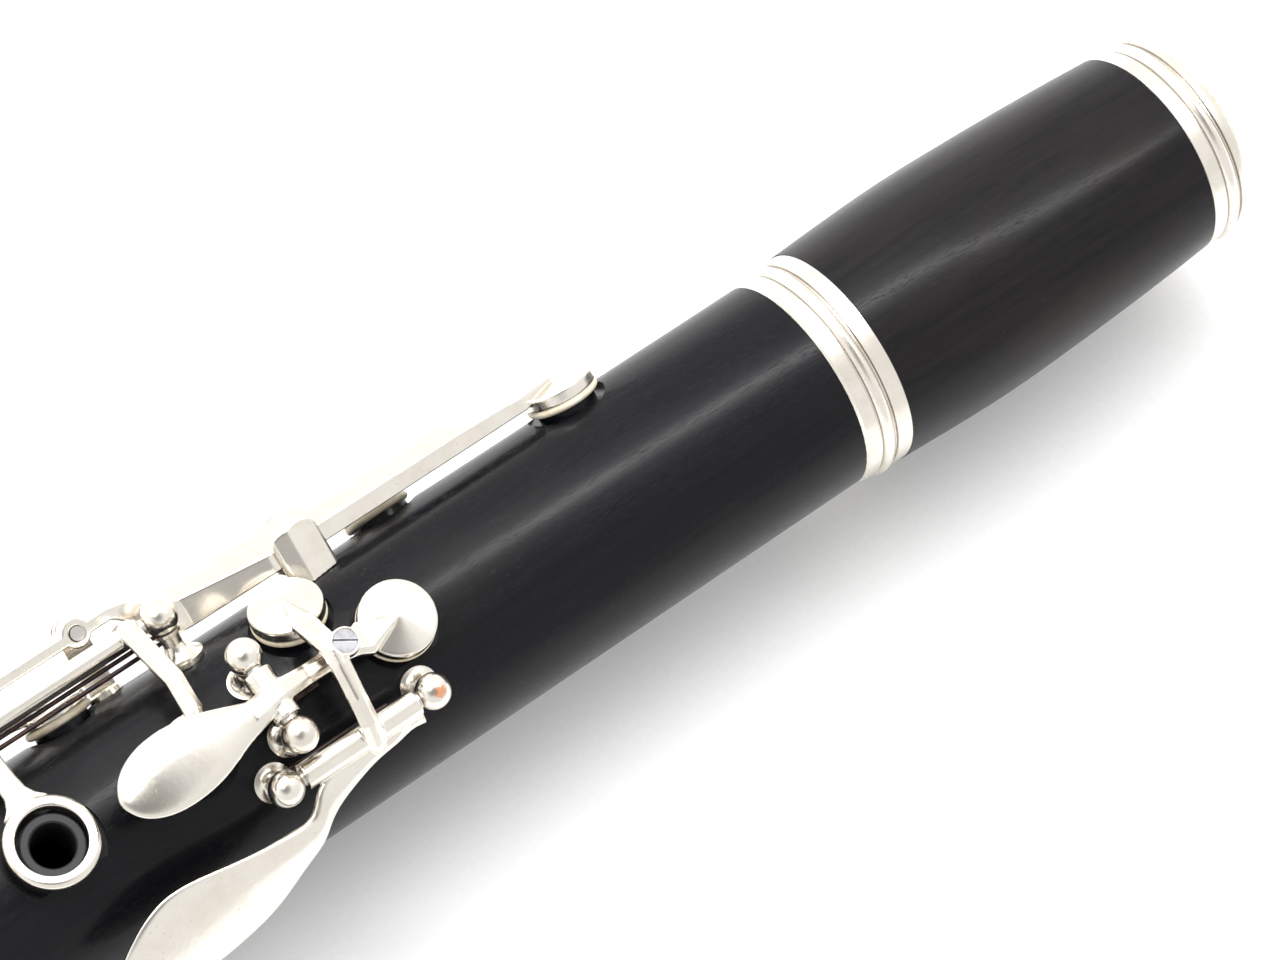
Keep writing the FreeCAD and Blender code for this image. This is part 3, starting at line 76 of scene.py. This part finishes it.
class Look:
    """One procedural material. Every pattern is laid out in millimetres of the object's own space."""

    def __init__(self, name):
        self.material = bpy.data.materials.new(name)
        self.material.use_nodes = True
        self.tree = self.material.node_tree
        self.shader = self.tree.nodes["Principled BSDF"]
        self.place = self.add("ShaderNodeTexCoord").outputs["Object"]

    def add(self, kind, **settings):
        node = self.tree.nodes.new(kind)
        for name, value in settings.items():
            setattr(node, name, value)
        return node

    def link(self, source, target):
        self.tree.links.new(source, target)

    def put(self, value, socket):
        """Sets a socket to a number or a colour, or links it to another node's output."""
        if isinstance(value, bpy.types.NodeSocket):
            self.link(value, socket)
        else:
            socket.default_value = value

    def set(self, **values):
        """Sets the shader's own sockets: base_color is Base Color, and so on."""
        for name, value in values.items():
            title = name.replace("_", " ").title().replace("Ior", "IOR")
            self.put(value, self.shader.inputs[title])

    def space(self, size, turn=(0.0, 0.0, 0.0)):
        """The object's space with one unit for each size, in mm along X, Y and Z."""
        mapping = self.add("ShaderNodeMapping")
        mapping.inputs["Scale"].default_value = [1.0 / (length * MM) for length in size]
        mapping.inputs["Rotation"].default_value = [math.radians(angle) for angle in turn]
        self.link(self.place, mapping.inputs["Vector"])
        return mapping.outputs["Vector"]

    def noise(self, size, detail=3.0, roughness=0.5, distortion=0.0, turn=(0.0, 0.0, 0.0)):
        """Soft noise whose spots are about as large as size, in mm along X, Y and Z."""
        node = self.add("ShaderNodeTexNoise")
        self.link(self.space(size, turn), node.inputs["Vector"])
        node.inputs["Scale"].default_value = 1.0
        node.inputs["Detail"].default_value = detail
        node.inputs["Roughness"].default_value = roughness
        node.inputs["Distortion"].default_value = distortion
        return node.outputs["Fac"]

    def cells(self, size):
        """The distance to the nearest of many scattered points, about size apart."""
        node = self.add("ShaderNodeTexVoronoi")
        self.link(self.space(size), node.inputs["Vector"])
        node.inputs["Scale"].default_value = 1.0
        return node.outputs["Distance"]

    def spread(self, value, low, high, to_low=0.0, to_high=1.0):
        """Maps value from low..high to to_low..to_high and keeps it in that range."""
        node = self.add("ShaderNodeMapRange")
        self.link(value, node.inputs["Value"])
        node.inputs["From Min"].default_value = low
        node.inputs["From Max"].default_value = high
        node.inputs["To Min"].default_value = to_low
        node.inputs["To Max"].default_value = to_high
        return node.outputs["Result"]

    def math(self, operation, first, second):
        node = self.add("ShaderNodeMath", operation=operation)
        self.put(first, node.inputs[0])
        self.put(second, node.inputs[1])
        return node.outputs[0]

    def blend(self, share, first, second):
        """The first colour where share is 0, the second where it is 1."""
        node = self.add("ShaderNodeMix", data_type="RGBA")
        self.put(share, node.inputs["Factor"])
        self.put(first, node.inputs["A"])
        self.put(second, node.inputs["B"])
        return node.outputs["Result"]

    def bump(self, height, depth, under=None):
        """Raises the surface by up to depth mm where height is 1."""
        node = self.add("ShaderNodeBump")
        node.inputs["Strength"].default_value = 1.0
        node.inputs["Distance"].default_value = depth * MM
        self.link(height, node.inputs["Height"])
        if under is not None:
            self.link(under, node.inputs["Normal"])
        return node.outputs["Normal"]

    def grime_and_shade(self, reach):
        """Grime and painted shade: 1 deep in grooves and corners that are narrower than reach mm, 0 in the
        open, read from the part's own occlusion.
        """
        node = self.add("ShaderNodeAmbientOcclusion", only_local=True, samples=8)
        node.inputs["Distance"].default_value = reach * MM
        return self.spread(node.outputs["AO"], 0.35, 0.85, 1.0, 0.0)

    def near(self, point, reach):
        """1 at point, falling to 0 at reach mm from it."""
        node = self.add("ShaderNodeVectorMath", operation="DISTANCE")
        self.link(self.place, node.inputs[0])
        node.inputs[1].default_value = point
        return self.spread(node.outputs["Value"], reach * MM, 0.0)

    def beyond(self, axis, start, end):
        """0 up to start along an axis of the object's space, 1 from end on, both in metres."""
        node = self.add("ShaderNodeSeparateXYZ")
        self.link(self.place, node.inputs["Vector"])
        return self.spread(node.outputs[axis], start, end)


def colour(red, green, blue):
    return (red, green, blue, 1.0)


def wood(name, dark, light, warm, warm_share, shine):
    """Grenadilla: nearly black, with long fine grain, short open pores, dust and a satin oil finish."""
    look = Look(name)
    streaks = look.noise((28.0, 1.3, 1.3), detail=6.0, roughness=0.6, distortion=0.4)
    fine = look.noise((6.0, 0.20, 0.20), detail=4.0, roughness=0.65)
    patches = look.noise((22.0, 9.0, 9.0), detail=2.0)
    pores = look.noise((1.3, 0.10, 0.10), detail=2.0, roughness=0.5)
    pits = look.spread(pores, 0.66, 0.74)
    tooth = look.noise((0.24, 0.16, 0.16), detail=3.0, roughness=0.6)
    scuffs = look.noise((0.5, 3.4, 3.4), detail=5.0, roughness=0.75, distortion=1.6,
                        turn=(0.0, 0.0, 34.0))
    marks = look.spread(scuffs, 0.66, 0.80)
    dust = look.math("MULTIPLY", look.spread(look.cells((1.9, 1.9, 1.9)), 0.036, 0.015),
                     look.spread(fine, 0.46, 0.60))
    ground = look.blend(look.spread(streaks, 0.32, 0.68), dark, light)
    ground = look.blend(look.spread(patches, 0.5, 0.78, 0.0, warm_share), ground, warm)
    ground = look.blend(look.spread(fine, 0.4, 0.72, 0.0, 0.5), ground, light)
    ground = look.blend(look.math("MULTIPLY", pits, 0.7), ground, colour(0.003, 0.0025, 0.0025))
    ground = look.blend(look.math("MULTIPLY", dust, 0.7), ground, colour(0.15, 0.15, 0.145))
    look.set(base_color=ground, specular_ior_level=0.09, coat_weight=0.14, coat_roughness=0.17)
    gloss = look.spread(patches, 0.3, 0.75, shine - 0.04, shine + 0.06)
    gloss = look.math("ADD", gloss, look.math("MULTIPLY", marks, 0.10))
    gloss = look.math("ADD", gloss, look.math("MULTIPLY", pits, 0.2))
    look.set(roughness=gloss)
    shape = look.bump(look.spread(pores, 0.60, 0.78, 1.0, 0.0), 0.012)
    shape = look.bump(tooth, 0.005, shape)
    shape = look.bump(fine, 0.002, shape)
    shape = look.bump(streaks, 0.006, shape)
    look.set(normal=shape, coat_normal=shape)
    return look.material


def plate(name, gloss, patina, worn_at=(), worn_rim=False):
    """Silver plate over brass: warm white, finely scratched and pitted, with tarnish and painted shade in
    its grooves and corners.

    worn_at lists the points and reaches in mm where rubbing has bared the copper under the silver.
    worn_rim bares it round the barrel's mouth as well.
    """
    look = Look(name)
    haze = look.noise((5.5, 5.5, 5.5), detail=5.0, roughness=0.62)
    specks = look.noise((0.42, 0.42, 0.42), detail=2.0, roughness=0.5)
    spots = look.spread(specks, 0.69, 0.76)
    along = look.noise((6.0, 0.10, 0.10), detail=3.0, roughness=0.7, distortion=0.3,
                       turn=(0.0, 0.0, 12.0))
    across = look.noise((0.10, 5.0, 0.3), detail=3.0, roughness=0.7, distortion=0.5,
                        turn=(0.0, 20.0, -28.0))
    lines = look.math("MAXIMUM", look.spread(along, 0.62, 0.74), look.spread(across, 0.64, 0.76))
    rubbed = look.noise((0.9, 0.9, 0.9), detail=4.0, roughness=0.65)
    ground = look.blend(look.spread(haze, 0.42, 0.72, 0.0, patina), SILVER, TARNISH)
    ground = look.blend(look.math("MULTIPLY", spots, 0.45), ground, colour(0.30, 0.25, 0.19))
    # Painted shade with grime: the part's own occlusion darkens its grooves and corners towards a dark
    # brown.
    ground = look.blend(look.math("MULTIPLY", look.grime_and_shade(0.5), 0.6), ground, GRIME_AND_SHADE)
    bare = [look.math("MULTIPLY", look.near(point, reach), 2.2) for point, reach in worn_at]
    if worn_rim:
        bare.append(look.math("MULTIPLY", look.beyond("X", -0.9 * MM, -0.1 * MM), 1.5))
    for share in bare:
        patchy = look.spread(look.math("MULTIPLY", share, rubbed), 0.42, 0.62)
        ground = look.blend(patchy, ground, COPPER)
    look.set(base_color=ground, metallic=1.0)
    rough = look.spread(haze, 0.35, 0.75, gloss, gloss + 0.13)
    rough = look.math("ADD", rough, look.math("MULTIPLY", lines, 0.12))
    rough = look.math("ADD", rough, look.math("MULTIPLY", spots, 0.22))
    look.set(roughness=rough)
    dents = look.noise((2.6, 2.6, 2.6), detail=1.0)
    shape = look.bump(dents, 0.020)
    shape = look.bump(lines, -0.0012, shape)
    shape = look.bump(spots, -0.0030, shape)
    look.set(normal=shape)
    return look.material


def skin_pad(name):
    """A bladder-skin pad: cream, faintly wrinkled and translucent, browner where it has aged."""
    look = Look(name)
    age = look.noise((1.8, 1.8, 1.8), detail=4.0, roughness=0.6)
    folds = look.noise((0.7, 0.7, 0.25), detail=4.0, roughness=0.7, distortion=1.2)
    ground = look.blend(look.spread(age, 0.4, 0.7), colour(0.80, 0.73, 0.58), colour(0.66, 0.55, 0.37))
    look.set(base_color=ground, roughness=look.spread(folds, 0.3, 0.7, 0.38, 0.58))
    look.set(subsurface_weight=0.15, normal=look.bump(folds, 0.03))
    look.shader.inputs["Subsurface Scale"].default_value = 0.0006
    look.shader.inputs["Subsurface Radius"].default_value = (1.0, 0.7, 0.4)
    return look.material


def cork(name):
    """Tenon cork: warm tan, with dark lenticels and a greased, slightly pitted face."""
    look = Look(name)
    body = look.noise((1.4, 1.4, 1.4), detail=5.0, roughness=0.7)
    grains = look.cells((0.6, 0.6, 0.6))
    pits = look.spread(look.noise((1.1, 0.4, 0.4), detail=3.0, roughness=0.6), 0.62, 0.72)
    ground = look.blend(look.spread(body, 0.3, 0.7), colour(0.33, 0.17, 0.075), colour(0.50, 0.30, 0.15))
    ground = look.blend(look.math("MULTIPLY", pits, 0.8), ground, colour(0.09, 0.04, 0.018))
    look.set(base_color=ground, roughness=look.spread(body, 0.3, 0.7, 0.55, 0.8))
    shape = look.bump(grains, 0.03)
    look.set(normal=look.bump(pits, -0.08, shape))
    return look.material


def ground_steel(name, tone, rough):
    """Rod and screw steel: turned, with fine lines round the axis and a trace of oil stain."""
    look = Look(name)
    lathe = look.noise((0.06, 4.0, 4.0), detail=2.0)
    stain = look.noise((2.2, 2.2, 2.2), detail=4.0, roughness=0.65)
    dark = [channel * 0.55 for channel in tone]
    ground = look.blend(look.spread(stain, 0.5, 0.78), colour(*tone), colour(*dark))
    look.set(base_color=ground, metallic=1.0)
    look.set(roughness=look.spread(stain, 0.3, 0.75, rough, rough + 0.18))
    look.set(normal=look.bump(lathe, 0.0025))
    return look.material


def blued_steel(name):
    """Spring steel: nearly black, rusting to brown in places."""
    look = Look(name)
    rust = look.noise((1.2, 0.6, 0.6), detail=5.0, roughness=0.7)
    ground = look.blend(look.spread(rust, 0.42, 0.6), colour(0.030, 0.030, 0.040),
                        colour(0.075, 0.036, 0.024))
    look.set(base_color=ground, metallic=look.spread(rust, 0.5, 0.66, 1.0, 0.3))
    look.set(roughness=look.spread(rust, 0.45, 0.7, 0.28, 0.7))
    look.set(normal=look.bump(rust, 0.01))
    return look.material


def matte_bush(name):
    """The moulded tone-hole chimney: matte black and slightly gritty."""
    look = Look(name)
    cloud = look.noise((1.6, 1.6, 1.6), detail=4.0, roughness=0.6)
    grit = look.noise((0.12, 0.12, 0.12), detail=2.0)
    ground = look.blend(look.spread(cloud, 0.4, 0.7), colour(0.009, 0.009, 0.010),
                        colour(0.022, 0.022, 0.024))
    look.set(base_color=ground, roughness=look.spread(cloud, 0.3, 0.7, 0.42, 0.6))
    look.set(normal=look.bump(grit, 0.008))
    return look.material


def floor_paper(name):
    """The pale sweep that the object lies on."""
    look = Look(name)
    tooth = look.noise((0.8, 0.8, 0.8), detail=3.0)
    ground = look.blend(look.spread(tooth, 0.3, 0.7), colour(0.90, 0.90, 0.90), colour(0.93, 0.93, 0.925))
    look.set(base_color=ground, roughness=0.75)
    look.shader.inputs["Specular IOR Level"].default_value = 0.2
    look.set(normal=look.bump(tooth, 0.01))
    return look.material


SILVER = colour(0.83, 0.785, 0.715)
TARNISH = colour(0.62, 0.545, 0.435)
# Dark brown for grime, which also serves as painted shade in the plate's grooves and corners.
GRIME_AND_SHADE = colour(0.055, 0.045, 0.035)
COPPER = colour(0.82, 0.40, 0.23)

# The bared patch on the outer face of the ball that ends the G sharp key's rod, and its reach in mm.
WORN_SPOT = Vector((-131.55, -11.45, 18.1)) * MM
WORN_REACH = 1.5

# One look for each material slot of the frame.
MATERIALS = {
    "grenadilla": wood("grenadilla_look", colour(0.0034, 0.0035, 0.0046), colour(0.0066, 0.0067, 0.0085),
                       colour(0.013, 0.0088, 0.0075), 0.3, 0.26),
    "barrel_wood": wood("barrel_wood_look", colour(0.0048, 0.0043, 0.0050), colour(0.0115, 0.0098, 0.0110),
                        colour(0.022, 0.0105, 0.0085), 0.7, 0.32),
    "ring_metal": plate("ring_metal_look", 0.20, 0.5, worn_rim=True),
    "key_metal": plate("key_metal_look", 0.13, 0.35),
    "post_metal": plate("post_metal_look", 0.16, 0.5, worn_at=[(WORN_SPOT, WORN_REACH)]),
    "steel": ground_steel("steel_look", (0.60, 0.58, 0.55), 0.22),
    "blued_steel": blued_steel("blued_steel_look"),
    "pad_skin": skin_pad("pad_skin_look"),
    "cork": cork("cork_look"),
    "bush": matte_bush("bush_look"),
}

# The adjusting screw is darker than the rods, with which it shares a slot.
SCREW_LOOK = ground_steel("screw_look", (0.26, 0.26, 0.27), 0.26)


def dress(obj, material):
    obj.data.materials.clear()
    obj.data.materials.append(material)


# ---------------------------------------------------------------- pieces

SLOTS = {part["node"]: part["material_slot"] for part in frame["record"]["subparts"]}
BODY_OF = {node: body for body, nodes in frame["record"]["behaviour"]["bodies"].items() for node in nodes}

# The grid of the skins in mm, and how many times each kind of skin is relaxed.
SKIN_CELL = 0.11
KEY_PASSES = 12
PAD_PASSES = 12

KEYS = (
    "a_key",
    "g_sharp_key",
    "index_ring_key",
    "middle_ring_key",
    "side_key_one",
    "side_key_two",
    "side_key_three",
    "side_key_four",
    "register_key",
    "thumb_ring_key",
    "c_sharp_key",
    "sliver_key",
    "side_lever_guide",
)
PADS = [node for node, slot in SLOTS.items() if slot == "pad_skin"]


def polished_copy(node, ending, passes):
    """A cast-and-polished skin over a CAD part: one closed surface with softened edges.

    The skin is built at mm scale on a fine grid and then relaxed, which rounds each edge by
    about a cell and leaves flat and round faces where they were.
    """
    source = frame["nodes"][node]
    mesh = source.data.copy()
    mesh.transform(Matrix.Scale(1.0 / MM, 4))
    piece = bpy.data.objects.new(node + ending, mesh)
    bpy.context.scene.collection.objects.link(piece)
    skin = piece.modifiers.new("skin", "REMESH")
    skin.mode = "VOXEL"
    skin.voxel_size = SKIN_CELL
    relax = piece.modifiers.new("relax", "SMOOTH")
    relax.factor = 0.5
    relax.iterations = passes
    evaluated = piece.evaluated_get(bpy.context.evaluated_depsgraph_get())
    piece.data = bpy.data.meshes.new_from_object(evaluated)
    piece.modifiers.clear()
    piece.data.transform(Matrix.Scale(MM, 4))
    piece.data.shade_smooth()
    return piece


def stand_in(node, ending, passes):
    """Stands a skin in for one CAD node's plain shape. It moves with that node's body."""
    piece = polished_copy(node, ending, passes)
    dress(piece, MATERIALS[SLOTS[node]])
    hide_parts(node)
    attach(piece, BODY_OF[node])
    return piece


def polish_keys():
    """Stands a polished skin in for each key and for the levers' guide."""
    for node in KEYS:
        stand_in(node, "_plated", KEY_PASSES)


def stuff_pads():
    """Stands a skin with softened edges in for each pad."""
    for node in PADS:
        piece = stand_in(node, "_skin", PAD_PASSES)


def finish_cad_nodes():
    """Gives every CAD node its material."""
    for node, obj in frame["nodes"].items():
        dress(obj, MATERIALS[SLOTS[node]])
    dress(frame["nodes"]["g_sharp_adjusting_screw"], SCREW_LOOK)


# ---------------------------------------------------------------- floor, light and camera

def make_floor():
    """A wide flat sheet under the object."""
    half = 3.0
    mesh = bpy.data.meshes.new("floor")
    corners = [(-half, -half, 0.0), (half, -half, 0.0), (half, half, 0.0), (-half, half, 0.0)]
    mesh.from_pydata(corners, [], [(0, 1, 2, 3)])
    floor = bpy.data.objects.new("floor", mesh)
    floor.location = (MIDDLE.x, MIDDLE.y, FLOOR_HEIGHT)
    bpy.context.scene.collection.objects.link(floor)
    dress(floor, floor_paper("floor_look"))


def area_light(name, direction, distance, size, power):
    """A soft box that looks at the middle of the object from that direction."""
    light = bpy.data.lights.new(name, "AREA")
    light.shape = "RECTANGLE"
    light.size, light.size_y = size
    light.energy = power
    box = bpy.data.objects.new(name, light)
    away = Vector(direction).normalized()
    box.location = MIDDLE + away * distance
    box.rotation_euler = away.to_track_quat("Z", "Y").to_euler()
    bpy.context.scene.collection.objects.link(box)


def make_world():
    """A white tent, brighter on the side-key side, with a dim ceiling round the camera."""
    world = bpy.data.worlds.new("tent")
    bpy.context.scene.world = world
    world.use_nodes = True
    tree = world.node_tree
    background = tree.nodes["Background"]
    place = tree.nodes.new("ShaderNodeTexCoord").outputs["Generated"]
    split = tree.nodes.new("ShaderNodeSeparateXYZ")
    tree.links.new(place, split.inputs["Vector"])
    side = ramp(tree, split.outputs["Y"], -0.8, 0.6, 1.0, 1.32)
    facing = tree.nodes.new("ShaderNodeVectorMath")
    facing.operation = "DOT_PRODUCT"
    tree.links.new(place, facing.inputs[0])
    facing.inputs[1].default_value = -CAMERA_DEPTH
    edge = math.cos(math.radians(CEILING_ANGLE))
    ceiling = ramp(tree, facing.outputs["Value"], edge, 1.0, 1.0, CEILING)
    product = tree.nodes.new("ShaderNodeMath")
    product.operation = "MULTIPLY"
    tree.links.new(side, product.inputs[0])
    tree.links.new(ceiling, product.inputs[1])
    tree.links.new(product.outputs[0], background.inputs["Strength"])
    background.inputs["Color"].default_value = (1.0, 1.0, 1.0, 1.0)


def ramp(tree, value, start, end, at_start, at_end):
    """A smooth step of a value between two levels."""
    node = tree.nodes.new("ShaderNodeMapRange")
    node.interpolation_type = "SMOOTHSTEP"
    node.inputs["From Min"].default_value = start
    node.inputs["From Max"].default_value = end
    node.inputs["To Min"].default_value = at_start
    node.inputs["To Max"].default_value = at_end
    tree.links.new(value, node.inputs["Value"])
    return node.outputs["Result"]


def make_lights():
    """A broad soft box from the side-key side, and a narrow strip that draws the wood's long highlight."""
    area_light("key_light", (-0.2, 0.55, 0.81), 0.9, (1.1, 1.1), 6.6)
    area_light("strip_light", (0.32, 0.29, 0.90), 0.7, (0.9, 0.05), 3.0)


def make_camera():
    """A long lens, close above the joint and turned across the picture."""
    data = bpy.data.cameras.new("camera")
    data.lens = LENS
    data.sensor_width = SENSOR
    data.clip_start = 0.01
    data.clip_end = 20.0
    camera = bpy.data.objects.new("camera", data)
    depth = CAMERA_DEPTH.normalized()
    right = (CAMERA_RIGHT - depth * CAMERA_RIGHT.dot(depth)).normalized()
    up = right.cross(depth)
    turn = Matrix((right, up, -depth)).transposed().to_4x4()
    camera.matrix_world = Matrix.Translation(CAMERA_AT) @ turn
    bpy.context.scene.collection.objects.link(camera)
    bpy.context.scene.camera = camera


make_camera()
make_world()
make_lights()
make_floor()
finish_cad_nodes()
polish_keys()
stuff_pads()
bpy.context.scene.view_settings.view_transform = "Standard"
